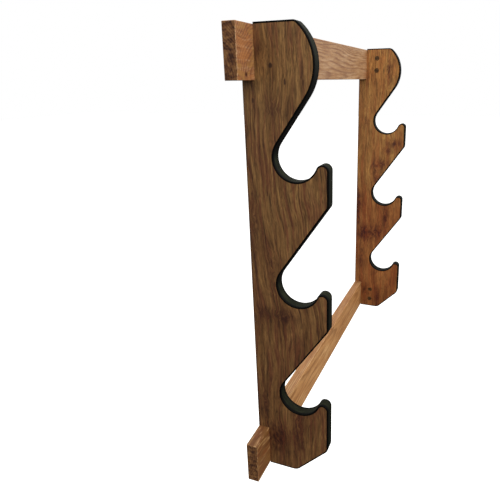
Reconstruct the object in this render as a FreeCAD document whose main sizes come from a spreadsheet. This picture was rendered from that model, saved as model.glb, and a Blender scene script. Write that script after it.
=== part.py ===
import FreeCAD, Part
import Sketcher
import math
import os

# Three-tier wall rack: two upright side panels with upward-opening cradles, joined by two rails
# that sit in notches at the panels' back corners.
#
# Frame: +Z up, +X along the rails to the right, the wall is the plane Y = 0 and the front is -Y.
# The origin is the centre of the top rail's back face. "Depth" is a distance out from the wall
# and "height" is measured up from the lower rail's bottom edge.

# Driving dimensions in millimetres: alias, value, meaning.
SIZES = [
    ("rack_height", 610, "lower rail's bottom edge to top rail's top edge"),
    ("rail_length", 665, "end to end"),
    ("rail_height", 61, "width of the rail board"),
    ("rail_thickness", 16.5, "thickness of the rail board"),
    ("rail_easing", 0.8, "radius on the rail's edges"),
    ("panel_span", 581, "over the outer faces of the two side panels"),
    ("core_thickness", 15.8, "side panel board without its laminates"),
    ("laminate_thickness", 0.6, "one laminate sheet"),
    ("band_thickness", 1.0, "strip on the panel's back edge"),
    ("front_depth", 104.8, "board's front edge from the wall"),
    ("bowl_depth", 65.1, "centre of each cradle's bowl from the wall"),
    ("bowl_height", 126.2, "centre of the lowest bowl"),
    ("tier_pitch", 166.6, "from one bowl to the next"),
    ("bowl_radius", 30.6, "cradle's bowl, cut in the board"),
    ("tip_radius", 6, "nose in front of each bowl"),
    ("shoulder_radius", 6, "corner where the front meets the slope to the next bowl"),
    ("shoulder_rise", 111.5, "shoulder's centre above the bowl that its slope leads to"),
    ("crown_depth", 28.8, "centre of the panel's round head from the wall"),
    ("crown_rise", 105, "centre of the round head above the top bowl"),
    ("crown_radius", 59.4, "panel's round head"),
    ("top_radius", 6, "corner between the top edge and the round head"),
    ("toe_radius", 12, "lower front corner"),
    ("toe_height", 51.2, "centre of the lower front corner"),
    ("heel_radius", 12, "corner between the bottom chamfer and the bottom edge"),
    ("heel_depth", 53.5, "centre of that corner from the wall"),
    ("trim_thickness", 2.2, "head of the T-moulding"),
    ("trim_rounding", 1.0, "radius on the moulding's outer edges"),
    ("tongue_depth", 4.2, "moulding's tongue"),
    ("tongue_width", 2.4, "moulding's tongue"),
    ("kerf_depth", 4.6, "groove for the tongue"),
    ("kerf_width", 2.6, "groove for the tongue"),
    ("bolt_spacing", 25.4, "between the two bolts of a rail joint"),
    ("bolt_diameter", 6, "connector bolt"),
    ("bolt_length", 40, "connector bolt under its head"),
    ("bolt_hole", 7, "clearance hole in rail and panel"),
    ("bolt_hole_depth", 46, "bolt hole's end from the wall"),
    ("head_diameter", 15, "connector bolt's flat head"),
    ("head_thickness", 2.2, "connector bolt's flat head"),
    ("bolt_bevel", 0.7, "bevel on the bolt's head and tip"),
    ("head_recess", 3, "depth of the counterbore"),
    ("recess_diameter", 16, "counterbore for the bolt's head"),
    ("socket_flats", 4, "hexagon socket across its flats"),
    ("socket_depth", 1.6, "hexagon socket"),
    ("nut_diameter", 9.9, "barrel nut"),
    ("nut_length", 12.5, "barrel nut"),
    ("nut_sink", 0.3, "barrel nut's end below the panel's inner face"),
    ("nut_hole", 10, "barrel nut's hole"),
    ("nut_hole_depth", 13, "barrel nut's hole from the inner face"),
    ("nut_depth", 38.9, "barrel nut's axis from the wall"),
    ("nut_bore", 6.1, "threaded cross bore of the barrel nut"),
    ("nut_slot_width", 1.3, "screwdriver slot in the barrel nut's end"),
    ("nut_slot_depth", 1.0, "screwdriver slot in the barrel nut's end"),
    ("hanger_spacing", 406.4, "between the keyhole hangers, one stud spacing"),
    ("hanger_width", 16, "hanger plate"),
    ("hanger_straight", 26, "between the centres of the hanger plate's round ends"),
    ("hanger_thickness", 1.5, "hanger plate"),
    ("keyhole_entry", 9.5, "diameter that a wall screw's head passes"),
    ("keyhole_slot", 4.8, "width that grips a wall screw's shank"),
    ("keyhole_rise", 8, "from the entry's centre up to the slot's end centre"),
    ("key_pocket_width", 12, "pocket in the rail behind the keyhole"),
    ("key_pocket_depth", 8, "pocket in the rail, from its back face"),
    ("screw_spacing", 32, "between a hanger's two screws"),
    ("screw_diameter", 3.5, "hanger screw"),
    ("screw_length", 13, "hanger screw, head included"),
    ("screw_head", 6.2, "hanger screw's countersunk head"),
    ("screw_sink", 0.06, "hanger screw's head below the rail's back face"),
    ("screw_slot_width", 0.9, "screwdriver slot in the hanger screw"),
    ("screw_slot_depth", 0.8, "screwdriver slot in the hanger screw"),
    ("screw_pilot", 3.6, "pilot hole in the rail"),
    ("pilot_depth", 14, "pilot hole in the rail, from its back face"),
    ("plate_hole", 3.7, "screw hole in the hanger plate"),
    ("countersink", 1.35, "chamfer on the plate's screw hole"),
]

START, END, CENTRE = 1, 2, 3
HORIZONTAL_AXIS, VERTICAL_AXIS = -1, -2
ORIGIN = (-1, 1)
SMALLEST_CUT = 0.01
TINY = 1e-6


class Measure:
    """A length that knows its present value and the sheet formula behind it."""

    def __init__(self, value, formula):
        self.value = value
        self.formula = formula

    def __add__(self, other):
        return Measure(self.value + other.value, f"{self.formula} + {other.formula}")

    def __sub__(self, other):
        return Measure(self.value - other.value, f"{self.formula} - ({other.formula})")

    def __mul__(self, factor):
        return Measure(self.value * factor, f"({self.formula}) * {factor}")

    def __neg__(self):
        return self * -1


NOTHING = Measure(0.0, "0")

document = FreeCAD.newDocument("wall_rack")


# ---- driving sheet ----

def make_sheet():
    """Puts the driving dimensions in a sheet and returns them as measures by alias."""
    sheet = document.addObject("Spreadsheet::Sheet", "Sizes")
    for row, (alias, value, meaning) in enumerate(SIZES, start=1):
        sheet.set(f"A{row}", meaning)
        sheet.set(f"B{row}", str(value))
        sheet.setAlias(f"B{row}", alias)
    document.recompute()
    return {alias: Measure(sheet.get(alias), f"Sizes.{alias}") for alias, _, _ in SIZES}


size = make_sheet()
half_rail = size["rail_height"] * 0.5
panel_thickness = size["core_thickness"] + size["laminate_thickness"] * 2
panel_centre = size["panel_span"] * 0.5 - panel_thickness * 0.5
board_top = size["rack_height"]
board_bottom = NOTHING
datum_height = size["rack_height"] - half_rail
upper_notch = size["rack_height"] - size["rail_height"]
half_bolts = size["bolt_spacing"] * 0.5


def past_through(thickness):
    """A length of cut that surely passes a thickness, from one side or from its middle."""
    return thickness * 3


# ---- helpers for bodies and sketches ----

def drive(item, path, measure):
    """Binds one property of an object to its formula."""
    item.setExpression(path, measure.formula)


def make_body(name, across=NOTHING, depth=NOTHING, height=NOTHING):
    """A body whose own origin stands at the given distance across, depth and height."""
    body = document.addObject("PartDesign::Body", name)
    body.Label = name
    drive(body, "Placement.Base.x", across)
    drive(body, "Placement.Base.y", -depth)
    drive(body, "Placement.Base.z", height - datum_height)
    return body


def origin_feature(body, role):
    """One of the body's own origin planes or axes."""
    return next(item for item in body.Origin.OriginFeatures if item.Role == role)


def make_sketch(body, name, plane, lift=NOTHING):
    """A sketch on one of the body's origin planes, lifted along the plane's normal."""
    sketch = body.newObject("Sketcher::SketchObject", name)
    sketch.AttachmentSupport = [(origin_feature(body, plane), "")]
    sketch.MapMode = "FlatFace"
    if lift is not NOTHING:
        drive(sketch, "AttachmentOffset.Base.z", lift)
    return sketch


def constrain(sketch, kind, references, measure):
    """Adds a dimension to a sketch and binds it to its formula."""
    index = sketch.addConstraint(Sketcher.Constraint(kind, *references, measure.value))
    name = f"dimension_{index}"
    sketch.renameConstraint(index, name)
    drive(sketch, f"Constraints.{name}", measure)


def pin_coordinate(sketch, kind, axis, point, measure):
    """Fixes one coordinate of a point, with a positive dimension or on the axis itself."""
    if abs(measure.value) < TINY:
        sketch.addConstraint(Sketcher.Constraint("PointOnObject", *point, axis))
    elif measure.value > 0:
        constrain(sketch, kind, ORIGIN + point, measure)
    else:
        constrain(sketch, kind, point + ORIGIN, -measure)


def pin_point(sketch, point, across=None, up=None):
    """Fixes a sketch point's horizontal and vertical coordinates, where they are given."""
    if across is not None:
        pin_coordinate(sketch, "DistanceX", VERTICAL_AXIS, point, across)
    if up is not None:
        pin_coordinate(sketch, "DistanceY", HORIZONTAL_AXIS, point, up)


def vector(across, up):
    return FreeCAD.Vector(across, up, 0)


def draw_circle(sketch, across, up, diameter):
    """A circle with its centre pinned."""
    centre = vector(across.value, up.value)
    circle = Part.Circle(centre, FreeCAD.Vector(0, 0, 1), diameter.value / 2)
    index = sketch.addGeometry(circle, False)
    constrain(sketch, "Diameter", (index,), diameter)
    pin_point(sketch, (index, CENTRE), across, up)


def draw_path(sketch, corners, first, last):
    """Straight lines from the point first, through pinned corners, to the point last."""
    ends = [sketch.getPoint(*first)]
    ends += [vector(across.value, up.value) for across, up in corners]
    ends += [sketch.getPoint(*last)]
    before = first
    for number, (tail, head) in enumerate(zip(ends, ends[1:])):
        index = sketch.addGeometry(Part.LineSegment(tail, head), False)
        sketch.addConstraint(Sketcher.Constraint("Coincident", *before, index, START))
        if number < len(corners):
            pin_point(sketch, (index, END), *corners[number])
        before = (index, END)
    sketch.addConstraint(Sketcher.Constraint("Coincident", *before, *last))


def draw_polygon(sketch, corners):
    """A closed outline of straight lines through pinned corners."""
    points = [vector(across.value, up.value) for across, up in corners]
    first = None
    for number, point in enumerate(points):
        following = points[(number + 1) % len(points)]
        index = sketch.addGeometry(Part.LineSegment(point, following), False)
        pin_point(sketch, (index, START), *corners[number])
        if first is None:
            first = index
        else:
            sketch.addConstraint(Sketcher.Constraint("Coincident", index - 1, END, index, START))
    sketch.addConstraint(Sketcher.Constraint("Coincident", index, END, first, START))


def draw_box(sketch, width, height):
    """A rectangle centred on the sketch's origin."""
    right = width * 0.5
    top = height * 0.5
    draw_polygon(sketch, [(-right, -top), (right, -top), (right, top), (-right, top)])


def draw_stadium(sketch, low, high, width):
    """An upright slot outline with round ends, centred on the vertical axis."""
    radius = width.value / 2
    bottom = Part.Circle(vector(0, low.value), FreeCAD.Vector(0, 0, 1), radius)
    top = Part.Circle(vector(0, high.value), FreeCAD.Vector(0, 0, 1), radius)
    arcs = [
        sketch.addGeometry(Part.ArcOfCircle(bottom, math.pi, 2 * math.pi), False),
        sketch.addGeometry(Part.ArcOfCircle(top, 0, math.pi), False),
    ]
    for arc, height in zip(arcs, (low, high)):
        pin_point(sketch, (arc, CENTRE), NOTHING, height)
        constrain(sketch, "Radius", (arc,), width * 0.5)
    for side, below, above in ((1, END, START), (-1, START, END)):
        ends = vector(side * radius, low.value), vector(side * radius, high.value)
        line = sketch.addGeometry(Part.LineSegment(*ends), False)
        sketch.addConstraint(Sketcher.Constraint("Tangent", arcs[0], below, line, START))
        sketch.addConstraint(Sketcher.Constraint("Tangent", line, END, arcs[1], above))


def pad(body, sketch, name, length, symmetric=False):
    """Raises a sketch along its normal, or to both sides of its plane."""
    feature = body.newObject("PartDesign::Pad", name)
    feature.Profile = sketch
    feature.SideType = "Symmetric" if symmetric else "One side"
    drive(feature, "Length", length)
    document.recompute()
    return feature


def pocket(body, sketch, name, depth, along_normal=False, symmetric=False):
    """Cuts a sketch into the body and checks that it took material away."""
    before = body.Shape.Volume
    feature = body.newObject("PartDesign::Pocket", name)
    feature.Profile = sketch
    feature.SideType = "Symmetric" if symmetric else "One side"
    feature.Reversed = along_normal
    drive(feature, "Length", depth)
    document.recompute()
    if before - body.Shape.Volume < SMALLEST_CUT:
        raise RuntimeError(f"{body.Label}: {name} cuts nothing")
    return feature


def repeat_upward(body, features, spacing):
    """Makes a second copy of the features, one spacing higher."""
    pattern = body.newObject("PartDesign::LinearPattern", "second_one")
    pattern.Originals = features
    pattern.Direction = (origin_feature(body, "Z_Axis"), [""])
    pattern.Occurrences = 2
    drive(pattern, "Length", spacing)
    body.Tip = pattern
    document.recompute()


def edge_names(feature, wanted):
    """Names of the feature's edges that pass a test."""
    edges = enumerate(feature.Shape.Edges, start=1)
    return [f"Edge{number}" for number, edge in edges if wanted(edge)]


# ---- the side panel's outline ----

def edge_turns(offset):
    """The rounded corners and bowls from the panel's top edge down to its bottom edge.

    Each turn is (depth, height, radius, sign): the sign is +1 where the panel's corner is
    rounded off and -1 in a bowl. A coordinate of None follows from tangency. offset moves the
    whole edge outwards, which grows the corners and shrinks the bowls about the same centres.
    """
    def corner(depth, height, radius):
        return (depth, height, radius + offset, 1)

    top_bowl = size["bowl_height"] + size["tier_pitch"] * 2
    crown_height = top_bowl + size["crown_rise"]
    turns = [
        corner(None, board_top - size["top_radius"], size["top_radius"]),
        corner(size["crown_depth"], crown_height, size["crown_radius"]),
    ]
    for tier in (2, 1, 0):
        height = size["bowl_height"] + size["tier_pitch"] * tier
        tip_depth = size["front_depth"] - size["tip_radius"]
        turns.append((size["bowl_depth"], height, size["bowl_radius"] - offset, -1))
        turns.append(corner(tip_depth, None, size["tip_radius"]))
        if tier > 0:
            depth = size["front_depth"] - size["shoulder_radius"]
            rise = size["shoulder_rise"] - size["tier_pitch"]
            turns.append(corner(depth, height + rise, size["shoulder_radius"]))
    toe_depth = size["front_depth"] - size["toe_radius"]
    turns.append(corner(toe_depth, size["toe_height"], size["toe_radius"]))
    turns.append(corner(size["heel_depth"], board_bottom + size["heel_radius"], size["heel_radius"]))
    return turns


def turn_centres(turns):
    """Numeric centres of the turns in the sketch plane, with the tangent ones worked out."""
    centres = []
    for number, (depth, height, radius, sign) in enumerate(turns):
        if depth is None:
            _, next_height, next_radius, _ = turns[number + 1]
            reach = next_radius.value - radius.value
            run = math.sqrt(reach ** 2 - (height.value - next_height.value) ** 2)
            centres.append(vector(-(size["crown_depth"].value + run), height.value))
        elif height is None:
            bowl_depth, bowl_height, bowl_radius, _ = turns[number - 1]
            reach = bowl_radius.value + radius.value
            drop = math.sqrt(reach ** 2 - (depth.value - bowl_depth.value) ** 2)
            centres.append(vector(-depth.value, bowl_height.value - drop))
        else:
            centres.append(vector(-depth.value, height.value))
    return centres


def tangent_ends(tail, tail_radius, head, head_radius):
    """Ends of the line tangent to two turns, each radius positive where the path turns left."""
    between = head - tail
    lean = (head_radius - tail_radius) / between.Length
    heading = math.atan2(between.y, between.x) - math.asin(max(-1.0, min(1.0, lean)))
    left = vector(-math.sin(heading), math.cos(heading))
    return tail - left * tail_radius, head - left * head_radius


def draw_front_edge(sketch, offset):
    """Draws the panel's edge from the top rail, round the front, to the lower rail.

    Returns the sketch points where it starts and ends.
    """
    turns = edge_turns(offset)
    start = vector(-size["rail_thickness"].value, board_top.value + offset.value)
    end = vector(-size["rail_thickness"].value, board_bottom.value - offset.value)
    centres = [start] + turn_centres(turns) + [end]
    radii = [0.0] + [radius.value * sign for _, _, radius, sign in turns] + [0.0]
    joints = []
    for number in range(len(centres) - 1):
        pair = (centres[number], radii[number], centres[number + 1], radii[number + 1])
        joints.append(tangent_ends(*pair))

    before = None
    for number, (tail, head) in enumerate(joints):
        if number > 0:
            depth, height, radius, sign = turns[number - 1]
            centre = centres[number]
            into = joints[number - 1][1] - centre
            out = tail - centre
            angles = [math.atan2(into.y, into.x), math.atan2(out.y, out.x)]
            entry, leave = (START, END) if sign > 0 else (END, START)
            circle = Part.Circle(centre, FreeCAD.Vector(0, 0, 1), radius.value)
            arc = sketch.addGeometry(Part.ArcOfCircle(circle, *angles[::sign]), False)
            sketch.addConstraint(Sketcher.Constraint("Tangent", *before, arc, entry))
            across = None if depth is None else -depth
            pin_point(sketch, (arc, CENTRE), across, height)
            constrain(sketch, "Radius", (arc,), radius)
            before = (arc, leave)
        if (head - tail).Length > TINY:
            line = sketch.addGeometry(Part.LineSegment(tail, head), False)
            if before is None:
                first = (line, START)
            else:
                sketch.addConstraint(Sketcher.Constraint("Tangent", *before, line, START))
            before = (line, END)

    for point in (first, before):
        sketch.addConstraint(Sketcher.Constraint("Horizontal", point[0]))
        pin_point(sketch, point, -size["rail_thickness"])
    return first, before


def draw_panel(sketch):
    """The whole panel: its front edge, its back and the two notches for the rails."""
    first, last = draw_front_edge(sketch, NOTHING)
    back = -size["band_thickness"]
    notch = -size["rail_thickness"]
    corners = [
        (notch, size["rail_height"]),
        (back, size["rail_height"]),
        (back, upper_notch),
        (notch, upper_notch),
    ]
    draw_path(sketch, corners, last, first)


def draw_ring(sketch, inner, outer):
    """The strip between two offsets of the front edge."""
    inner_first, inner_last = draw_front_edge(sketch, inner)
    outer_first, outer_last = draw_front_edge(sketch, outer)
    draw_path(sketch, [], inner_first, outer_first)
    draw_path(sketch, [], inner_last, outer_last)


# ---- side panels ----

def cut_kerf(body):
    """The groove that takes the moulding's tongue, all along the front edge."""
    kerf = make_sketch(body, "kerf_outline", "YZ_Plane")
    first, last = draw_front_edge(kerf, -size["kerf_depth"])
    beyond = size["kerf_depth"] * 2
    clear_front = -(size["front_depth"] + beyond)
    notch = -size["rail_thickness"]
    corners = [
        (notch, board_bottom - beyond),
        (clear_front, board_bottom - beyond),
        (clear_front, board_top + beyond),
        (notch, board_top + beyond),
    ]
    draw_path(kerf, corners, last, first)
    pocket(body, kerf, "kerf", size["kerf_width"], symmetric=True)


def joint_heights():
    """Heights of every bolt axis above the lower rail's bottom edge."""
    centres = (half_rail, datum_height)
    return [height for centre in centres for height in (centre - half_bolts, centre + half_bolts)]


def cut_nut_holes(body, side, lift, depth):
    """Round holes for the barrel nuts, cut outwards from the inner face."""
    sketch = make_sketch(body, "nut_hole_outline", "YZ_Plane", lift)
    for height in joint_heights():
        draw_circle(sketch, -size["nut_depth"], height, size["nut_hole"])
    pocket(body, sketch, "nut_holes", depth, along_normal=side > 0)


def make_core(name, side, across):
    """The board between the two laminates."""
    body = make_body(name, across)
    outline = make_sketch(body, "outline", "YZ_Plane")
    draw_panel(outline)
    pad(body, outline, "board", size["core_thickness"], symmetric=True)
    cut_kerf(body)
    inner_face = size["core_thickness"] * (-0.5 * side)
    cut_nut_holes(body, side, inner_face, size["nut_hole_depth"] - size["laminate_thickness"])
    bolts = make_sketch(body, "bolt_hole_outline", "XZ_Plane")
    for height in joint_heights():
        draw_circle(bolts, NOTHING, height, size["bolt_hole"])
    pocket(body, bolts, "bolt_holes", size["bolt_hole_depth"], along_normal=True)
    return body


def make_laminate(name, side, across, is_inner):
    """A thin sheet on one face of the core; the inner one has the nuts' holes."""
    body = make_body(name, across)
    faces_right = (side < 0) == is_inner
    half_core = size["core_thickness"] * 0.5
    low_face = half_core if faces_right else -(half_core + size["laminate_thickness"])
    outline = make_sketch(body, "outline", "YZ_Plane", low_face)
    draw_panel(outline)
    pad(body, outline, "sheet", size["laminate_thickness"])
    if is_inner:
        inner_face = panel_thickness * (-0.5 * side)
        cut_nut_holes(body, side, inner_face, past_through(size["laminate_thickness"]))
    return body


def make_trim(name, across):
    """Black T-moulding: a head over the board's edge and a tongue in its groove."""
    body = make_body(name, across)
    head = make_sketch(body, "head_outline", "YZ_Plane")
    draw_ring(head, NOTHING, size["trim_thickness"])
    strip = pad(body, head, "head", panel_thickness, symmetric=True)

    seam = make_sketch(body, "seam_outline", "YZ_Plane")
    draw_front_edge(seam, NOTHING)
    document.recompute()
    rim = panel_thickness.value / 2
    nearly_all = 0.9 * size["trim_thickness"].value

    def is_outer_edge(edge):
        low, high = edge.ParameterRange
        middle = edge.valueAt((low + high) / 2)
        flat = FreeCAD.Vector(0, middle.y, middle.z)
        distance = seam.Shape.distToShape(Part.Vertex(flat))[0]
        return abs(abs(middle.x) - rim) < TINY and distance > nearly_all

    rounding = body.newObject("PartDesign::Fillet", "rounded_edges")
    rounding.Base = (strip, edge_names(strip, is_outer_edge))
    drive(rounding, "Radius", size["trim_rounding"])
    document.recompute()

    tongue = make_sketch(body, "tongue_outline", "YZ_Plane")
    draw_ring(tongue, -size["tongue_depth"], size["trim_thickness"] * 0.5)
    pad(body, tongue, "tongue", size["tongue_width"], symmetric=True)
    return body


def make_back_band(name, across):
    """The strip that closes the board's back edge between the two notches."""
    body = make_body(name, across)
    outline = make_sketch(body, "outline", "YZ_Plane")
    outer = NOTHING
    inner = -size["band_thickness"]
    low = size["rail_height"]
    draw_polygon(outline, [(outer, low), (outer, upper_notch), (inner, upper_notch), (inner, low)])
    pad(body, outline, "strip", panel_thickness, symmetric=True)
    return body


# ---- rails ----

def make_rail(name, height):
    """A solid board with eased edges and the bolts' counterbores in its back."""
    body = make_body(name, height=height)
    outline = make_sketch(body, "outline", "YZ_Plane")
    front = -size["rail_thickness"]
    corners = [(NOTHING, -half_rail), (NOTHING, half_rail), (front, half_rail), (front, -half_rail)]
    draw_polygon(outline, corners)
    board = pad(body, outline, "board", size["rail_length"], symmetric=True)
    easing = body.newObject("PartDesign::Fillet", "eased_edges")
    easing.Base = (board, edge_names(board, lambda edge: True))
    drive(easing, "Radius", size["rail_easing"])
    document.recompute()
    cuts = (
        ("counterbores", size["recess_diameter"], size["head_recess"]),
        ("bolt_holes", size["bolt_hole"], past_through(size["rail_thickness"])),
    )
    for cut_name, diameter, depth in cuts:
        sketch = make_sketch(body, f"{cut_name}_outline", "XZ_Plane")
        for across in (-panel_centre, panel_centre):
            for up in (-half_bolts, half_bolts):
                draw_circle(sketch, across, up, diameter)
        pocket(body, sketch, cut_name, depth, along_normal=True)
    return body


def make_recess(body, name, across, draw, depth):
    """One pocket in the top rail's back, drawn about a hanger's centre line."""
    sketch = make_sketch(body, f"{name}_outline", "XZ_Plane")
    drive(sketch, "AttachmentOffset.Base.x", across)
    draw(sketch)
    pocket(body, sketch, name, depth, along_normal=True)


def draw_screw_holes(sketch, diameter):
    for height in (size["screw_spacing"] * -0.5, size["screw_spacing"] * 0.5):
        draw_circle(sketch, NOTHING, height, diameter)


def draw_keyhole(sketch, width):
    """The keyhole's slot, from its entry's centre up to where the wall screw rests."""
    half_rise = size["keyhole_rise"] * 0.5
    draw_stadium(sketch, -half_rise, half_rise, width)


def draw_plate(sketch):
    half_straight = size["hanger_straight"] * 0.5
    draw_stadium(sketch, -half_straight, half_straight, size["hanger_width"])


def let_in_hanger(rail, side, across):
    """Recess, head pocket and pilot holes for one hanger."""
    make_recess(rail, f"{side}_plate_recess", across, draw_plate, size["hanger_thickness"])
    make_recess(
        rail, f"{side}_key_pocket", across,
        lambda sketch: draw_keyhole(sketch, size["key_pocket_width"]), size["key_pocket_depth"],
    )
    make_recess(
        rail, f"{side}_pilot_holes", across,
        lambda sketch: draw_screw_holes(sketch, size["screw_pilot"]), size["pilot_depth"],
    )


# ---- hardware ----

def make_turned(name, place, profile):
    """A piece turned about its own Y axis; returns the body and the turned feature."""
    body = make_body(name, *place)
    sketch = make_sketch(body, "half_profile", "YZ_Plane")
    draw_polygon(sketch, [(-depth, radius) for depth, radius in profile])
    turned = body.newObject("PartDesign::Revolution", "turned")
    turned.Profile = sketch
    turned.ReferenceAxis = (sketch, ["H_Axis"])
    turned.Angle = 360
    document.recompute()
    return body, turned


def make_bolts(name, across, height):
    """Two flat-head connector bolts with hexagon sockets."""
    bottom = size["head_recess"]
    top = bottom - size["head_thickness"]
    rim = size["head_diameter"] * 0.5
    shank = size["bolt_diameter"] * 0.5
    bevel = size["bolt_bevel"]
    end = bottom + size["bolt_length"]
    profile = [
        (top, NOTHING), (top, rim - bevel), (top + bevel, rim), (bottom, rim), (bottom, shank),
        (end - bevel, shank), (end, shank - bevel), (end, NOTHING),
    ]
    body, turned = make_turned(name, (across, NOTHING, height), profile)
    sketch = make_sketch(body, "socket_outline", "XZ_Plane")
    corner_radius = size["socket_flats"] * (1 / math.sqrt(3))
    corners = []
    for number in range(6):
        angle = math.tau * number / 6
        across_corner = corner_radius * round(math.cos(angle), 6)
        up_corner = corner_radius * round(math.sin(angle), 6)
        corners.append((across_corner, up_corner))
    draw_polygon(sketch, corners)
    socket = pocket(body, sketch, "socket", top + size["socket_depth"], along_normal=True)
    repeat_upward(body, [turned, socket], size["bolt_spacing"])
    return body


def make_nuts(name, side, across, height):
    """Two barrel nuts with a cross bore for the bolt and a slot in the end that shows."""
    body = make_body(name, across, size["nut_depth"], height)
    shown_end = panel_thickness * 0.5 - size["nut_sink"]
    low_end = shown_end - size["nut_length"] if side < 0 else -shown_end
    barrel = make_sketch(body, "barrel_outline", "YZ_Plane", low_end)
    draw_circle(barrel, NOTHING, NOTHING, size["nut_diameter"])
    barrel_pad = pad(body, barrel, "barrel", size["nut_length"])
    bore = make_sketch(body, "bore_outline", "XZ_Plane")
    draw_circle(bore, NOTHING, NOTHING, size["nut_bore"])
    bore_cut = pocket(body, bore, "bore", past_through(size["nut_diameter"]), symmetric=True)
    slot = make_sketch(body, "slot_outline", "YZ_Plane", shown_end * -side)
    draw_box(slot, past_through(size["nut_diameter"]), size["nut_slot_width"])
    slot_cut = pocket(body, slot, "slot", size["nut_slot_depth"], along_normal=side > 0)
    repeat_upward(body, [barrel_pad, bore_cut, slot_cut], size["bolt_spacing"])
    return body


def make_hanger(name, across):
    """A keyhole plate with two countersunk screw holes."""
    body = make_body(name, across, height=datum_height)
    outline = make_sketch(body, "outline", "XZ_Plane")
    draw_plate(outline)
    pad(body, outline, "plate", size["hanger_thickness"])
    through = past_through(size["hanger_thickness"])
    slot = make_sketch(body, "slot_outline", "XZ_Plane")
    draw_keyhole(slot, size["keyhole_slot"])
    pocket(body, slot, "slot", through, symmetric=True)
    entry = make_sketch(body, "entry_outline", "XZ_Plane")
    draw_circle(entry, NOTHING, size["keyhole_rise"] * -0.5, size["keyhole_entry"])
    pocket(body, entry, "entry", through, symmetric=True)
    holes = make_sketch(body, "screw_hole_outline", "XZ_Plane")
    draw_screw_holes(holes, size["plate_hole"])
    holes_cut = pocket(body, holes, "screw_holes", through, symmetric=True)

    def is_back_rim(edge):
        round_rim = isinstance(edge.Curve, Part.Circle) and abs(edge.CenterOfMass.y) < TINY
        return round_rim and abs(edge.Curve.Radius * 2 - size["plate_hole"].value) < TINY

    bevel = body.newObject("PartDesign::Chamfer", "countersinks")
    bevel.Base = (holes_cut, edge_names(holes_cut, is_back_rim))
    drive(bevel, "Size", size["countersink"])
    document.recompute()
    return body


def make_hanger_screws(name, across):
    """Two countersunk wood screws, slotted."""
    rim = size["screw_head"] * 0.5
    shank = size["screw_diameter"] * 0.5
    top = size["screw_sink"]
    neck = top + rim - shank
    tip = size["screw_length"]
    profile = [(top, NOTHING), (top, rim), (neck, shank), (tip - shank, shank), (tip, NOTHING)]
    low_screw = datum_height - size["screw_spacing"] * 0.5
    place = (across, NOTHING, low_screw)
    body, turned = make_turned(name, place, profile)
    sketch = make_sketch(body, "slot_outline", "XZ_Plane")
    draw_box(sketch, past_through(size["screw_head"]), size["screw_slot_width"])
    slot = pocket(body, sketch, "slot", size["screw_slot_depth"], along_normal=True)
    repeat_upward(body, [turned, slot], size["screw_spacing"])
    return body


# ---- the whole rack ----

def make_rack():
    """Builds every piece and returns the bodies."""
    pieces = []
    for side_name, side in (("left", -1), ("right", 1)):
        across = panel_centre * side
        pieces.append(make_core(f"{side_name}_panel_core", side, across))
        pieces.append(make_laminate(f"{side_name}_outer_laminate", side, across, False))
        pieces.append(make_laminate(f"{side_name}_inner_laminate", side, across, True))
        pieces.append(make_trim(f"{side_name}_edge_trim", across))
        pieces.append(make_back_band(f"{side_name}_back_band", across))
        for level, centre in (("top", datum_height), ("lower", half_rail)):
            height = centre - half_bolts
            pieces.append(make_bolts(f"{level}_{side_name}_bolts", across, height))
            pieces.append(make_nuts(f"{level}_{side_name}_barrel_nuts", side, across, height))

    top_rail = make_rail("top_rail", datum_height)
    pieces.append(top_rail)
    pieces.append(make_rail("lower_rail", half_rail))
    for side_name, side in (("left", -1), ("right", 1)):
        across = size["hanger_spacing"] * (side * 0.5)
        let_in_hanger(top_rail, side_name, across)
        pieces.append(make_hanger(f"{side_name}_keyhole_hanger", across))
        pieces.append(make_hanger_screws(f"{side_name}_hanger_screws", across))
    return pieces


def check_document(pieces):
    """Stops if any object failed or any piece has no valid shape."""
    for item in document.Objects:
        if "Invalid" in item.State or "Error" in item.State:
            raise RuntimeError(f"{item.Label} failed: {item.State}")
    for piece in pieces:
        if piece.Shape.isNull() or not piece.Shape.isValid():
            raise RuntimeError(f"{piece.Label} has no valid shape")


def write_parts(pieces):
    os.makedirs("parts", exist_ok=True)
    for piece in pieces:
        piece.Shape.exportStep(f"parts/{piece.Label}.step")
        box = piece.Shape.BoundBox
        print(f"{piece.Label}: {len(piece.Shape.Solids)} solid(s), "
              f"{piece.Shape.Volume / 1000:.2f} cm3, "
              f"x {box.XMin:.1f}..{box.XMax:.1f}, y {box.YMin:.1f}..{box.YMax:.1f}, "
              f"z {box.ZMin:.1f}..{box.ZMax:.1f}")


rack_pieces = make_rack()
document.recompute()
check_document(rack_pieces)
write_parts(rack_pieces)
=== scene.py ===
import math

import bpy
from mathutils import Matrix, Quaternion, Vector


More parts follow.
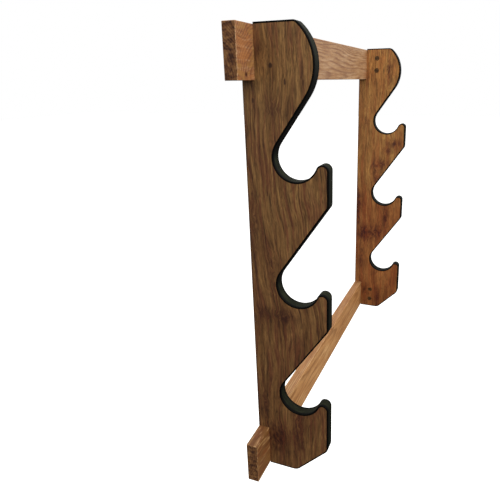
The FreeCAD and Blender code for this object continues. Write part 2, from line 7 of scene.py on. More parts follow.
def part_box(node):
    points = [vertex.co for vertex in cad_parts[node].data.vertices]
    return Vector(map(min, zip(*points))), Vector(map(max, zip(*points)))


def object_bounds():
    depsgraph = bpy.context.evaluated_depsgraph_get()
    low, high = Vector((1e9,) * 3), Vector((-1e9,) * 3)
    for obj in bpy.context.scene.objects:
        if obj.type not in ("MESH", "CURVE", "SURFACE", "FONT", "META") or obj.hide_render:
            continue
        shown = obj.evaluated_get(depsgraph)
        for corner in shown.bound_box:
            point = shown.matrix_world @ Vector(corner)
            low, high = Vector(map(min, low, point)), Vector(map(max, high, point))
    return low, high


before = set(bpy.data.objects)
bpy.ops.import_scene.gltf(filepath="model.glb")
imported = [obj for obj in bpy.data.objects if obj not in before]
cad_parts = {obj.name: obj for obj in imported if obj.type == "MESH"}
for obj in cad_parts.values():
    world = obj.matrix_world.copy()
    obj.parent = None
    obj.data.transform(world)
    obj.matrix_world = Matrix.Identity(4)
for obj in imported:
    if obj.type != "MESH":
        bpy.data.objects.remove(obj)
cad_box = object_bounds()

# Looks of the three-tier wall rack: every CAD node keeps its shape and gets a procedural finish.
#
# Lengths inside a material are in millimetres in the row frame: +Z up, +X along the rails,
# the wall at Y = 0 and the front at -Y. Colours are written as display values from 0 to 255.
# A number added to a seed only keeps the noises of one material apart.

MM_PER_M = 1000.0
WHITE = (1.0, 1.0, 1.0, 1.0)
# Which sockets of a colour Mix node are its two colours and its result.
MIX_FIRST, MIX_SECOND, MIX_RESULT = 6, 7, 2

# The view: a wide lens close to the left panel, looking along the rack and a little down.
# Place in metres, angles in degrees, lens and sensor in millimetres, shift in sensor widths.
CAMERA_PLACE = (-0.815, -0.272, -0.032)
CAMERA_HEADING = 21.07
CAMERA_TILT = -17.40
CAMERA_ROLL = 0.92
CAMERA_LENS = 34.22
CAMERA_SENSOR = 36.0
CAMERA_SHIFT = (-0.10, -0.04)
CAMERA_NEAREST = 0.01

# Soft boxes: name, place and side in metres, and power in watts.
SOFT_BOXES = (
    ("front_box", (-0.8, -2.4, 1.2), 1.6, 48.0),
    ("top_box", (-0.9, -0.45, 2.0), 1.4, 28.0),
)
# The sky's strength rises from the first value to the second as its direction turns upward.
SKY_UPWARD = (-0.5, 0.5)
SKY_STRENGTH = (0.12, 1.0)

# The floor's drop below the rack and its side, in metres.
FLOOR_DROP = 0.6
FLOOR_SIZE = 30.0


def display(red, green, blue):
    """A linear colour from display values."""
    channels = []
    for value in (red, green, blue):
        share = value / 255
        channels.append(share / 12.92 if share <= 0.04045 else ((share + 0.055) / 1.055) ** 2.4)
    return (*channels, 1.0)


# ---- colours and marks ----

# The side panels' laminates. tones are deep, low, middle, high, pale, red and burl. A knot or a
# burl is a mark: its depth from the wall, height, half width, half length and strength.
LEFT_LAMINATE = {
    "seed": 3.0,
    "tones": (
        display(50, 28, 15), display(98, 66, 35), display(118, 84, 46), display(135, 99, 57),
        display(156, 120, 70), display(104, 60, 37), display(56, 28, 20),
    ),
    "knots": (
        (36.8, -14.4, 2.8, 3.2, 0.72),
        (54.1, -32.4, 1.4, 4.2, 0.75),
        (12.7, -53.1, 1.5, 3.6, 0.60),
    ),
    "burls": (
        (38.0, -60.0, 9.0, 12.0, 0.45),
        (22.0, 0.0, 7.0, 16.0, 0.40),
        (46.0, -332.0, 19.0, 13.0, 0.70),
        (18.0, -332.0, 18.0, 10.0, 0.60),
        (30.0, -530.0, 17.0, 24.0, 1.00),
        (62.0, -512.0, 8.0, 46.0, 0.70),
        (10.0, -478.0, 9.0, 30.0, 0.50),
        (30.0, -270.0, 8.0, 34.0, 0.45),
        (8.0, -210.0, 6.0, 46.0, 0.45),
    ),
    "figure": 0.74,
    "slant": 24.0,
    # Painted shade: between these heights the panel darkens towards the bottom by this tint.
    "shade_heights": (40.0, -420.0),
    "painted_low_shade": (0.76, 0.71, 0.72, 1.0),
}
RIGHT_LAMINATE = {
    "seed": 47.0,
    "tones": (
        display(86, 45, 24), display(126, 82, 41), display(149, 103, 53), display(164, 119, 64),
        display(177, 137, 78), display(140, 78, 40), display(70, 34, 25),
    ),
    "knots": (
        (84.0, -171.0, 4.5, 4.0, 0.30),
        (25.0, -538.0, 3.0, 4.0, 0.35),
    ),
    "burls": (
        (83.0, -171.0, 15.0, 12.0, 0.75),
        (68.0, -188.0, 13.0, 9.0, 0.70),
        (66.0, -14.0, 6.0, 26.0, 0.75),
        (19.0, -123.0, 5.0, 16.0, 0.50),
        (53.0, -219.0, 22.0, 13.0, 0.95),
        (48.0, -246.0, 12.0, 24.0, 0.60),
        (3.0, -330.0, 7.0, 46.0, 1.50),
        (23.0, -388.0, 19.0, 20.0, 1.30),
        (50.0, -384.0, 20.0, 20.0, 0.90),
        (70.0, -344.0, 7.0, 34.0, 0.70),
        (57.0, -556.0, 5.0, 28.0, 0.80),
        (28.0, -536.0, 9.0, 16.0, 0.60),
        (14.0, -444.0, 7.0, 36.0, 0.60),
    ),
    "figure": 0.56,
    "slant": 8.0,
    # Painted shade: between these heights the panel darkens towards the bottom by this tint.
    "shade_heights": (-225.0, -330.0),
    "painted_low_shade": (0.79, 0.62, 0.60, 1.0),
}
# A laminate's pattern hardly changes over this distance through the panel.
THROUGH = 60.0
# Heights between which the laminates' grain slants, and between which their figure calms down.
SLANT_HEIGHTS = (-390.0, -100.0)
CALM_HEIGHTS = (-170.0, -10.0)
# From where to where towards the wall a panel's back edge darkens: painted shade where the edge
# rolls away from the light.
BACK_EDGE_SHADE = (-4.0, -0.5)
# What a burl does to the wood's colour, and the tone of a knot.
BURL_TINT = (0.52, 0.32, 0.34, 1.0)
PANEL_KNOT_TONE = display(40, 21, 14)

# The rails' timber. tones are deep, low, middle and high, then warm, blaze and gold near the
# ends. A knot is its place along the rail, its rise above the middle, half size and strength.
TOP_RAIL_TIMBER = {
    "seed": 90.0,
    "pith_depth": 30.0,
    "pith_rise": -24.0,
    "tones": (
        display(112, 70, 48), display(146, 104, 70), display(166, 126, 88), display(188, 152, 116),
        display(146, 92, 52), display(172, 112, 62), display(158, 116, 62),
    ),
    "knots": ((-312.0, -24.0, 2.6, 1.3),),
    "sweep": 0.40,
    "bands": 0.45,
}
LOWER_RAIL_TIMBER = {
    "seed": 77.0,
    "pith_depth": 40.0,
    "pith_rise": 14.0,
    "tones": (
        display(120, 74, 37), display(158, 106, 59), display(181, 130, 79), display(200, 156, 104),
        display(90, 53, 26), display(120, 66, 34), display(122, 84, 41),
    ),
    "knots": (),
    "sweep": 0.0,
    "bands": 0.75,
}
RING_SPACING = 3.0
# Distances from a rail's ends: where its rings start to sweep across it, and where the colours
# of the ends and their warmth first show and are complete.
SWEEP_REACH = 60.0
END_ZONE = (85.0, 40.0)
WARM_ZONE = (115.0, 55.0)
# Squared distances from the pith between which the rings grow bold, in square millimetres.
BOLD_RINGS = (500.0, 1800.0)
# Distances from a rail's edges where the pale edge line starts and is complete: partly wear,
# partly a painted highlight on the eased edges.
SCUFFED_HIGHLIGHT_ZONE = (1.2, 0.2)
# Tints of the dark bands near a rail's ends, and of its narrow top and bottom faces.
END_BAND_TINT = (0.50, 0.42, 0.40, 1.0)
NARROW_FACE_TINT = (0.72, 0.71, 0.76, 1.0)
# Tones of a rail's sawn ends from dark to light, of its knots, and of its pale edge line, which is
# partly wear and partly a painted highlight.
SAWN_END_TONES = (display(50, 25, 13), display(98, 62, 34), display(132, 94, 54))
RAIL_KNOT_TONE = display(62, 26, 22)
SCUFFED_HIGHLIGHT_TONE = display(206, 168, 122)

# The moulding's grey from dark to light, a painted highlight on its up-facing flat, and its black,
# which also paints shade on its rounded edges and where it faces down.
VINYL_HIGHLIGHT_TONES = (display(15, 17, 9), display(25, 27, 15), display(40, 42, 27))
VINYL_BLACK_AND_SHADE_TONE = display(3, 3, 2)
ZINC_TONES = (display(120, 120, 116), display(160, 160, 155), display(190, 190, 184))
NUT_TONES = (display(58, 38, 20), display(84, 60, 34), display(110, 82, 50))
BOARD_TONES = (display(120, 88, 58), display(166, 132, 94), display(196, 166, 126))
FLOOR_TONES = (display(244, 244, 242), display(250, 250, 248))

# How strongly each panel's moulding takes its painted grey highlight, and how far in from its
# sides the grey first shows and is complete.
LEFT_VINYL_HIGHLIGHT = 1.1
RIGHT_VINYL_HIGHLIGHT = 0.4
VINYL_BORDER = (2.2, 3.8)
# The size of the flakes in the pressed board.
FLAKE_SIZE = 1.25


# ---- building node trees ----

class Tree:
    """Builds one material. Values given to its calls are numbers, colours or node outputs."""

    def __init__(self, name):
        self.material = bpy.data.materials.new(name)
        self.material.use_nodes = True
        self.nodes = self.material.node_tree.nodes
        self.links = self.material.node_tree.links
        self.nodes.clear()
        coordinates = self.node("ShaderNodeTexCoord")
        self.place = self.scaled(coordinates.outputs["Object"], MM_PER_M)
        self.here = self.split(self.place)
        self.x, self.y, self.z = self.here
        self.facing = self.split(coordinates.outputs["Normal"])

    def node(self, kind, **settings):
        made = self.nodes.new(kind)
        for name, value in settings.items():
            setattr(made, name, value)
        return made

    def put(self, socket, value):
        """Links a node output to a socket, or sets the socket's own value."""
        if isinstance(value, bpy.types.NodeSocket):
            self.links.new(value, socket)
        else:
            socket.default_value = value

    def maths(self, operation, *values):
        made = self.node("ShaderNodeMath", operation=operation)
        for socket, value in zip(made.inputs, values):
            self.put(socket, value)
        return made.outputs[0]

    def add(self, *values):
        total = values[0]
        for value in values[1:]:
            total = self.maths("ADD", total, value)
        return total

    def minus(self, first, second):
        return self.maths("SUBTRACT", first, second)

    def times(self, *values):
        product = values[0]
        for value in values[1:]:
            product = self.maths("MULTIPLY", product, value)
        return product

    def scaled(self, vector, factor):
        made = self.node("ShaderNodeVectorMath", operation="SCALE")
        self.put(made.inputs[0], vector)
        self.put(made.inputs["Scale"], factor)
        return made.outputs["Vector"]

    def split(self, vector):
        made = self.node("ShaderNodeSeparateXYZ")
        self.put(made.inputs[0], vector)
        return tuple(made.outputs)

    def join(self, *values):
        made = self.node("ShaderNodeCombineXYZ")
        for socket, value in zip(made.inputs, values):
            self.put(socket, value)
        return made.outputs[0]

    def step(self, value, low, high):
        """0 below low and 1 above high, with a smooth rise between; falls if high is lower."""
        made = self.node("ShaderNodeMapRange", interpolation_type="SMOOTHSTEP")
        for socket, number in zip(made.inputs, (value, low, high, 0.0, 1.0)):
            self.put(socket, number)
        return made.outputs[0]

    def noise(self, place, grain, detail, roughness, seed):
        """Noise at (x, y, z) whose features are about grain = (x, y, z) millimetres large."""
        stretched = []
        for value, reach in zip(place, grain):
            stretched.append(self.maths("MULTIPLY_ADD", value, 1 / reach, seed))
        made = self.node("ShaderNodeTexNoise", noise_dimensions="3D")
        self.put(made.inputs["Vector"], self.join(*stretched))
        self.put(made.inputs["Scale"], 1.0)
        self.put(made.inputs["Detail"], detail)
        self.put(made.inputs["Roughness"], roughness)
        return made.outputs["Fac"]

    def wander(self, place, grain, reach, detail, seed):
        """A smooth signed wander of about reach millimetres to each side."""
        even = self.minus(self.noise(place, grain, detail, 0.5, seed), 0.5)
        return self.times(even, 4 * reach)

    def ramp(self, value, *stops):
        """A colour from stops of (position, colour)."""
        made = self.node("ShaderNodeValToRGB")
        elements = made.color_ramp.elements
        while len(elements) < len(stops):
            elements.new(0.5)
        for element, (position, colour) in zip(elements, stops):
            element.position = position
            element.color = colour
        self.put(made.inputs[0], value)
        return made.outputs["Color"]

    def blend(self, factor, first, second, kind="MIX"):
        """The first colour where factor is 0, and the second where it is 1 or more."""
        made = self.node("ShaderNodeMix", data_type="RGBA", blend_type=kind, clamp_factor=True)
        self.put(made.inputs["Factor"], factor)
        self.put(made.inputs[MIX_FIRST], first)
        self.put(made.inputs[MIX_SECOND], second)
        return made.outputs[MIX_RESULT]

    def tint(self, colour, by, factor=1.0):
        """The colour multiplied by another colour or by a value, as far as factor says."""
        return self.blend(factor, colour, by, "MULTIPLY")

    def finish(self, colour, roughness, height, relief, metallic=0.0, specular=0.5, glow=0.0):
        """Adds the surface. height is 0 to 1 and relief is its full depth in millimetres."""
        bump = self.node("ShaderNodeBump")
        self.put(bump.inputs["Strength"], 1.0)
        self.put(bump.inputs["Distance"], relief / MM_PER_M)
        self.put(bump.inputs["Height"], height)
        surface = self.node("ShaderNodeBsdfPrincipled")
        inputs = {
            "Base Color": colour, "Roughness": roughness, "Metallic": metallic,
            "Specular IOR Level": specular, "Emission Color": colour, "Emission Strength": glow,
            "Normal": bump.outputs[0],
        }
        for name, value in inputs.items():
            self.put(surface.inputs[name], value)
        output = self.node("ShaderNodeOutputMaterial")
        self.links.new(surface.outputs[0], output.inputs["Surface"])
        return self.material


# ---- panels ----

def spot(tree, mark, ragged):
    """1 at the centre of a mark, falling to 0 outside it, with a ragged outline."""
    depth, height, half_width, half_length = mark[:4]
    across = tree.times(tree.add(tree.y, depth), 1 / half_width)
    along = tree.times(tree.minus(tree.z, height), 1 / half_length)
    square = tree.add(tree.times(across, across), tree.times(along, along), ragged)
    return tree.maths("EXPONENT", tree.times(square, -1.0))


def laminate(name, seed, tones, knots, burls, figure, slant, shade_heights, painted_low_shade):
    """Wood laminate: upright streaks that bow round knots and break up in dark burls.

    figure is how strongly the streaks show, and slant is how far the grain wanders forward on
    its way down. Between two given heights the colour darkens towards the bottom: a painted shade.
    """
    deep, low, middle, high, pale, red, burl_tone = tones
    tree = Tree(name)
    ragged = tree.wander(tree.here, (THROUGH, 7, 9), 0.3, 3.0, seed + 2)
    drift = tree.wander(tree.here, (THROUGH, 30, 75), 3.2, 2.0, seed)
    curl = tree.wander(tree.here, (THROUGH, 11, 14), 4.5, 3.0, seed + 4)
    lean = tree.times(tree.step(tree.z, *SLANT_HEIGHTS), -slant)
    y = tree.add(tree.y, drift, lean)
    z = tree.add(tree.z, tree.wander(tree.here, (THROUGH, 16, 40), 6.0, 2.0, seed + 3))

    knot = 0.0
    for mark in knots:
        depth, strength = mark[0], mark[-1]
        hump = spot(tree, mark, ragged)
        y = tree.minus(y, tree.times(tree.add(tree.y, depth), hump, 0.85))
        knot = tree.maths("MAXIMUM", knot, tree.times(tree.step(hump, 0.22, 0.66), strength))
    burl = 0.0
    for mark in burls:
        strength = mark[-1]
        hump = spot(tree, mark, ragged)
        y = tree.add(y, tree.times(curl, hump))
        burl = tree.maths("MAXIMUM", burl, tree.times(hump, strength))

    grain = (tree.x, y, z)
    cloud = tree.noise(tree.here, (THROUGH, 34, 60), 2.0, 0.5, seed + 31)
    broad = tree.noise(grain, (THROUGH, 9, 110), 2.0, 0.5, seed + 7)
    streak = tree.noise(grain, (THROUGH, 4.4, 75), 4.0, 0.68, seed + 11)
    gleam = tree.noise(grain, (THROUGH, 3.2, 60), 3.0, 0.65, seed + 19)
    fibre = tree.noise(grain, (THROUGH, 2.1, 20), 3.0, 0.62, seed + 23)
    hair = tree.noise(grain, (THROUGH, 1.5, 9), 3.0, 0.65, seed + 29)
    blush = tree.noise(grain, (THROUGH, 6, 85), 3.0, 0.6, seed + 41)
    pores = tree.noise(grain, (THROUGH, 2.0, 15), 2.0, 0.6, seed + 53)
    broken = tree.noise(grain, (THROUGH, 4.5, 14), 3.0, 0.65, seed + 61)

    value = tree.add(tree.times(cloud, 0.30), tree.times(broad, 0.42), tree.times(streak, 0.28))
    colour = tree.ramp(value, (0.40, low), (0.50, middle), (0.59, high))
    calm = tree.step(tree.z, *CALM_HEIGHTS)
    bold = tree.times(tree.minus(1.0, tree.times(calm, 0.20)), figure)
    colour = tree.blend(tree.times(tree.step(blush, 0.47, 0.60), bold), colour, red)
    colour = tree.blend(tree.times(tree.step(gleam, 0.50, 0.70), 0.73, bold), colour, pale)
    colour = tree.blend(tree.times(tree.step(streak, 0.50, 0.30), bold), colour, deep)
    flecks = tree.step(pores, 0.56, 0.72)
    colour = tree.blend(tree.times(flecks, 0.73 * figure), colour, deep)

    colour = tree.tint(colour, BURL_TINT, tree.times(burl, 0.80))
    colour = tree.blend(tree.times(burl, tree.step(broken, 0.42, 0.58)), colour, burl_tone)
    colour = tree.blend(tree.times(knot, 1.15), colour, PANEL_KNOT_TONE)

    coarse_part = tree.times(tree.minus(fibre, 0.5), 1.30)
    fine_part = tree.times(tree.minus(hair, 0.5), 1.20)
    rough_top = tree.add(1.0, tree.times(calm, 0.35))
    shade = tree.add(1.0, tree.times(tree.add(coarse_part, fine_part), rough_top))
    colour = tree.tint(colour, shade)
    # Painted shade: the panel darker towards the bottom.
    colour = tree.tint(colour, painted_low_shade, tree.step(tree.z, *shade_heights))
    # Painted shade along the back edge, broken up by the fibres.
    back_edge_shade = tree.times(tree.step(tree.y, *BACK_EDGE_SHADE), tree.step(fibre, 0.30, 0.55), 0.55)
    colour = tree.blend(back_edge_shade, colour, deep)

    roughness = tree.add(0.46, tree.times(hair, 0.14), tree.times(cloud, 0.08))
    height = tree.add(tree.times(hair, 0.4), tree.times(fibre, 0.4), tree.times(flecks, -0.4))
    return tree.finish(colour, roughness, height, relief=0.16, specular=0.22)


# ---- rails ----

def centre_and_half(node):
    """Centre and half size of a CAD node's box, in millimetres."""
    low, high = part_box(node)
    return (low + high) / 2 * MM_PER_M, (high - low) / 2 * MM_PER_M


def edge_distance(tree, node):
    """Distance along the surface of a box-shaped node to its nearest edge."""
    centre, half = centre_and_half(node)
    gaps = []
    for value, middle, reach in zip(tree.here, centre, half):
        away = tree.maths("ABSOLUTE", tree.minus(value, middle))
        gaps.append(tree.minus(reach, away))
    smaller = tree.maths("MINIMUM", gaps[0], gaps[1])
    larger = tree.maths("MAXIMUM", gaps[0], gaps[1])
    return tree.maths("MAXIMUM", smaller, tree.maths("MINIMUM", larger, gaps[2]))


def knots_in_rings(tree, x, rise, knots):
    """How far knots push the rings up, and how strongly each place belongs to a knot."""
    push = 0.0
    knot = 0.0
    for along, up, size, strength in knots:
        across = tree.times(tree.minus(x, along), 1 / size)
        above = tree.times(tree.minus(rise, up), 1 / size)
        square = tree.add(tree.times(across, across), tree.times(above, above))
        core = tree.maths("EXPONENT", tree.times(square, -1.0))
        knot = tree.maths("MAXIMUM", knot, tree.times(core, strength))
        pull = tree.maths("EXPONENT", tree.times(square, -0.12))
        push = tree.add(push, tree.times(pull, size * 1.6))
    return push, knot


def rail_wood(node, seed, pith_depth, pith_rise, tones, knots, sweep, bands):
    """Solid timber: growth rings round a pith behind the board, cut by the board's faces.

    pith_depth is how far the pith lies behind the wall plane, and pith_rise is how far above the
    board's middle. Near the ends the rings sweep across the board as strongly as sweep says, and
    lengthwise bands show as strongly as bands says.
    """
    deep, low, middle, high, warm_tone, blaze_tone, gold_tone = tones
    tree = Tree(f"{node}_wood")
    centre, half = centre_and_half(node)
    x = tree.minus(tree.x, centre.x)
    rise = tree.minus(tree.z, centre.z)
    to_end = tree.minus(half.x, tree.maths("ABSOLUTE", x))
    near_end = tree.step(to_end, *END_ZONE)
    board = (x, tree.y, tree.z)

    # The distance from the pith, made uneven.
    sway = tree.wander(board, (210, 70, 70), 10.0, 1.0, seed)
    ripple = tree.wander(board, (120, 26, 20), 1.5, 1.0, seed + 5)
    twist = tree.times(tree.wander(board, (40, 50, 30), 2.5, 1.0, seed + 8), near_end)
    push, knot = knots_in_rings(tree, x, rise, knots)
    from_pith = tree.minus(tree.y, pith_depth)
    above_pith = tree.add(tree.minus(rise, pith_rise), sway, twist, push)
    squares = tree.add(tree.times(from_pith, from_pith), tree.times(above_pith, above_pith))
    beyond = tree.maths("MAXIMUM", tree.minus(SWEEP_REACH, to_end), 0.0)
    bend = tree.times(beyond, beyond, sweep / SWEEP_REACH)
    radius = tree.add(tree.maths("SQRT", squares), ripple, tree.times(x, 0.02), bend)

    # The dark late wood of each ring, fainter near the pith and in patches.
    spacing = tree.noise((radius, seed, 0.0), (9.0, 1.0, 1.0), 1.0, 0.5, seed + 9)
    ring = tree.maths("FRACT", tree.add(tree.times(radius, 1 / RING_SPACING), spacing))
    late = tree.times(tree.step(ring, 0.30, 0.84), tree.step(ring, 1.0, 0.86))
    outer = tree.step(squares, *BOLD_RINGS)
    late = tree.times(late, tree.add(0.35, tree.times(outer, 0.65)))
    patchy = tree.noise(board, (60, 12, 12), 2.0, 0.5, seed + 13)
    late = tree.times(late, tree.add(tree.step(patchy, 0.22, 0.58), tree.times(near_end, 0.6)))

    # The long grain, and the stronger colours near the ends.
    along_rings = (x, tree.y, above_pith)
    cloud = tree.noise(board, (95, 30, 24), 2.0, 0.5, seed + 17)
    streak = tree.noise(board, (60, 4.0, 4.0), 3.0, 0.6, seed + 29)
    fibre = tree.noise(board, (15, 1.0, 1.0), 2.0, 0.6, seed + 37)
    value = tree.add(tree.times(cloud, 0.30), tree.times(streak, 0.70))
    colour = tree.ramp(value, (0.34, low), (0.50, middle), (0.66, high))
    heart = tree.noise(board, (70, 30, 20), 2.0, 0.5, seed + 43)
    warm = tree.step(tree.add(to_end, tree.times(heart, 50.0)), *WARM_ZONE)
    colour = tree.blend(tree.times(warm, 0.80), colour, warm_tone)
    band = tree.noise(along_rings, (60, 4.5, 3.6), 3.0, 0.62, seed + 33)
    light_band = tree.times(near_end, tree.step(band, 0.52, 0.66), bands)
    colour = tree.blend(light_band, colour, high)
    dark_band = tree.times(near_end, tree.step(band, 0.48, 0.34), bands)
    colour = tree.blend(dark_band, colour, tree.tint(deep, END_BAND_TINT))
    colour = tree.blend(tree.times(late, 0.62), colour, deep)
    flush = tree.noise(along_rings, (30, 9, 12), 2.0, 0.6, seed + 39)
    blaze = tree.times(near_end, tree.step(flush, 0.52, 0.64), 0.40)
    colour = tree.blend(blaze, colour, blaze_tone)
    gold = tree.times(near_end, tree.step(flush, 0.52, 0.38), 0.50)
    colour = tree.blend(gold, colour, gold_tone)
    flecks = tree.step(tree.noise(board, (11, 1.3, 1.3), 1.0, 0.5, seed + 51), 0.60, 0.72)
    colour = tree.blend(tree.times(flecks, 0.40), colour, deep)

    # The narrow faces, the sawn ends, knots, and the scuffed edges with their painted highlight.
    facing_x, _, facing_z = tree.facing
    narrow_face = tree.step(tree.maths("ABSOLUTE", facing_z), 0.60, 0.90)
    colour = tree.tint(colour, NARROW_FACE_TINT, narrow_face)
    sawn_end = tree.step(tree.maths("ABSOLUTE", facing_x), 0.75, 0.97)
    mottle = tree.noise(board, (4, 7.0, 5.0), 3.0, 0.62, seed + 61)
    sawn_value = tree.add(mottle, tree.times(late, -0.07))
    sawn_colour = tree.ramp(sawn_value, *zip((0.33, 0.47, 0.64), SAWN_END_TONES))
    colour = tree.blend(tree.times(sawn_end, 0.95), colour, sawn_colour)
    colour = tree.blend(knot, colour, RAIL_KNOT_TONE)
    colour = tree.tint(colour, tree.add(0.80, tree.times(fibre, 0.40)))
    nicks = tree.noise(board, (14, 3, 3), 3.0, 0.6, seed + 71)
    at_edge = tree.step(edge_distance(tree, node), *SCUFFED_HIGHLIGHT_ZONE)
    scuffed_highlight = tree.times(at_edge, tree.step(nicks, 0.44, 0.60))
    # Painted highlight, partly wear: a pale line along the eased edges, broken into nicks; the
    # same mask makes them rougher and dented.
    colour = tree.blend(tree.times(scuffed_highlight, 0.45), colour, SCUFFED_HIGHLIGHT_TONE)

    roughness = tree.add(
        0.44, tree.times(fibre, 0.14), tree.times(sawn_end, 0.25), tree.times(scuffed_highlight, 0.12),
    )
    height = tree.add(
        tree.times(fibre, 0.5), tree.times(late, 0.2), tree.times(flecks, -0.5),
        tree.times(scuffed_highlight, -0.4),
    )
    return tree.finish(colour, roughness, height, relief=0.15, specular=0.22)


# ---- moulding, metal and board ----

def moulding(node, seed, vinyl_highlight):
    """Black vinyl: a scuffed, painted grey highlight where its flat faces up; black, painted shade
    on its rounded edges and where it faces down.
    """
    tree = Tree(f"{node}_vinyl")
    centre, half = centre_and_half(node)
    across = tree.maths("ABSOLUTE", tree.minus(tree.x, centre.x))
    scuff = tree.noise(tree.here, (3.5, 10, 10), 4.0, 0.6, seed)
    grit = tree.noise(tree.here, (0.5, 0.5, 0.5), 2.0, 0.5, seed + 7)
    border_start, border_end = VINYL_BORDER
    uneven = tree.add(across, tree.times(scuff, 0.8))
    flat = tree.step(uneven, half.x - border_start, half.x - border_end)
    # Painted light: the flat is grey only where it faces up, as if lit from above, and black where
    # it faces down.
    upward = tree.step(tree.facing[2], -0.45, 0.30)
    scuffed_highlight = tree.ramp(scuff, *zip((0.35, 0.55, 0.72), VINYL_HIGHLIGHT_TONES))
    colour = tree.blend(tree.times(flat, upward, vinyl_highlight), VINYL_BLACK_AND_SHADE_TONE, scuffed_highlight)
    roughness = tree.add(0.50, tree.times(scuff, 0.22))
    height = tree.add(tree.times(grit, 0.7), tree.times(scuff, 0.3))
    return tree.finish(colour, roughness, height, relief=0.05, specular=0.06)


def plated_steel(name, seed, tones, metallic):
    """Plated steel with a crystalline dullness and fine turning marks."""
    tree = Tree(name)
    bloom = tree.noise(tree.here, (3, 3, 3), 4.0, 0.6, seed)
    fine = tree.noise(tree.here, (0.25, 1.6, 1.6), 2.0, 0.6, seed + 3)
    value = tree.add(tree.times(bloom, 0.7), tree.times(fine, 0.3))
    colour = tree.ramp(value, *zip((0.35, 0.5, 0.65), tones))
    roughness = tree.add(0.30, tree.times(bloom, 0.25))
    return tree.finish(colour, roughness, fine, relief=0.02, metallic=metallic)


def pressed_board(name, seed):
    """Raw board of pressed wood flakes."""
    tree = Tree(name)
    made = tree.node("ShaderNodeTexVoronoi", feature="F1")
    tree.put(made.inputs["Vector"], tree.place)
    tree.put(made.inputs["Scale"], 1 / FLAKE_SIZE)
    flake = tree.split(made.outputs["Color"])[0]
    fine = tree.noise(tree.here, (0.8, 0.8, 0.8), 3.0, 0.6, seed)
    value = tree.add(tree.times(flake, 0.6), tree.times(fine, 0.4))
    colour = tree.ramp(value, *zip((0.25, 0.5, 0.8), BOARD_TONES))
    return tree.finish(colour, roughness=0.85, height=value, relief=0.25)


def dress(node, material):
    """Gives a CAD node its finish."""
    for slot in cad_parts[node].material_slots:
        slot.material = material


def dress_rack():
    """Gives every CAD node its material."""
    board = pressed_board("core_board", seed=5.0)
    zinc = plated_steel("zinc_plate", seed=9.0, tones=ZINC_TONES, metallic=0.9)
    nut = plated_steel("nut_plate", seed=13.0, tones=NUT_TONES, metallic=0.5)
    sides = (("left", LEFT_LAMINATE, LEFT_VINYL_HIGHLIGHT), ("right", RIGHT_LAMINATE, RIGHT_VINYL_HIGHLIGHT))
    for side, finish, vinyl_highlight in sides:
        wood = laminate(f"{side}_laminate", **finish)
        for part in ("outer_laminate", "inner_laminate", "back_band"):
            dress(f"{side}_{part}", wood)
        dress(f"{side}_panel_core", board)
        dress(f"{side}_edge_trim", moulding(f"{side}_edge_trim", finish["seed"], vinyl_highlight))
        dress(f"{side}_keyhole_hanger", zinc)
        dress(f"{side}_hanger_screws", zinc)
        for level in ("top", "lower"):
            dress(f"{level}_{side}_bolts", zinc)
            dress(f"{level}_{side}_barrel_nuts", nut)
    for rail, timber in (("top_rail", TOP_RAIL_TIMBER), ("lower_rail", LOWER_RAIL_TIMBER)):
        dress(rail, rail_wood(rail, **timber))


# ---- floor, light and camera ----

def make_floor():
    """A pale floor that the rack hangs well above; it doesn't throw light up at the rack."""
    height = cad_box[0].z - FLOOR_DROP
    half = FLOOR_SIZE / 2
    corners = [(x * half, y * half, height) for x, y in ((-1, -1), (1, -1), (1, 1), (-1, 1))]
    mesh = bpy.data.meshes.new("floor")
    mesh.from_pydata(corners, [], [(0, 1, 2, 3)])
    floor = bpy.data.objects.new("floor", mesh)
    bpy.context.scene.collection.objects.link(floor)
    tree = Tree("floor")
    speck = tree.noise(tree.here, (90, 90, 90), 3.0, 0.5, 2.0)
    colour = tree.ramp(speck, *zip((0.3, 0.7), FLOOR_TONES))
    paint = tree.finish(colour, roughness=0.8, height=speck, relief=0.1, glow=0.45)
    mesh.materials.append(paint)
    floor.visible_diffuse = False
    floor.visible_glossy = False


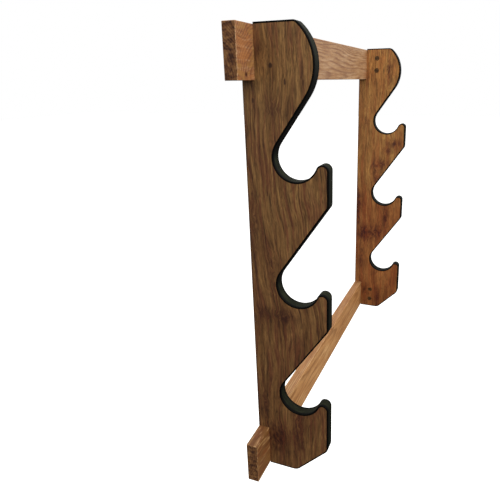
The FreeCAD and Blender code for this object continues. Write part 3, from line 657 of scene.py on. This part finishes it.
def make_world():
    """White all round for the eye, and a soft sky for light: bright above, dim below."""
    world = bpy.data.worlds.new("studio")
    bpy.context.scene.world = world
    world.use_nodes = True
    nodes = world.node_tree.nodes
    links = world.node_tree.links
    nodes.clear()
    direction = nodes.new("ShaderNodeTexCoord")
    split = nodes.new("ShaderNodeSeparateXYZ")
    links.new(direction.outputs["Generated"], split.inputs[0])
    sky = nodes.new("ShaderNodeMapRange")
    sky.interpolation_type = "SMOOTHSTEP"
    for socket, value in zip(list(sky.inputs)[1:5], (*SKY_UPWARD, *SKY_STRENGTH)):
        socket.default_value = value
    links.new(split.outputs["Z"], sky.inputs[0])
    light = nodes.new("ShaderNodeBackground")
    links.new(sky.outputs[0], light.inputs["Strength"])
    seen = nodes.new("ShaderNodeBackground")
    seen.inputs["Strength"].default_value = 1.0
    for background in (light, seen):
        background.inputs["Color"].default_value = WHITE
    path = nodes.new("ShaderNodeLightPath")
    mix = nodes.new("ShaderNodeMixShader")
    links.new(path.outputs["Is Camera Ray"], mix.inputs[0])
    links.new(light.outputs[0], mix.inputs[1])
    links.new(seen.outputs[0], mix.inputs[2])
    output = nodes.new("ShaderNodeOutputWorld")
    links.new(mix.outputs[0], output.inputs["Surface"])


def make_light(name, place, size, watts):
    """A square soft box that faces the middle of the rack."""
    low, high = cad_box
    data = bpy.data.lights.new(name, "AREA")
    data.shape = "SQUARE"
    data.size = size
    data.energy = watts
    light = bpy.data.objects.new(name, data)
    light.location = place
    towards = (low + high) / 2 - light.location
    light.rotation_euler = towards.to_track_quat("-Z", "Y").to_euler()
    bpy.context.scene.collection.objects.link(light)


def make_camera():
    """The camera, turned by its heading from +X towards the wall, then tilted and rolled."""
    data = bpy.data.cameras.new("camera")
    data.sensor_width = CAMERA_SENSOR
    data.lens = CAMERA_LENS
    data.shift_x, data.shift_y = CAMERA_SHIFT
    data.clip_start = CAMERA_NEAREST
    camera = bpy.data.objects.new("camera", data)
    bpy.context.scene.collection.objects.link(camera)
    heading = math.radians(CAMERA_HEADING)
    tilt = math.radians(CAMERA_TILT)
    forward = Vector((
        math.cos(heading) * math.cos(tilt), math.sin(heading) * math.cos(tilt), math.sin(tilt),
    ))
    roll = Quaternion((0, 0, 1), -math.radians(CAMERA_ROLL))
    camera.location = CAMERA_PLACE
    camera.rotation_mode = "QUATERNION"
    camera.rotation_quaternion = forward.to_track_quat("-Z", "Y") @ roll
    bpy.context.scene.camera = camera


dress_rack()
make_floor()
make_world()
for soft_box in SOFT_BOXES:
    make_light(*soft_box)
make_camera()
bpy.context.scene.view_settings.view_transform = "Standard"
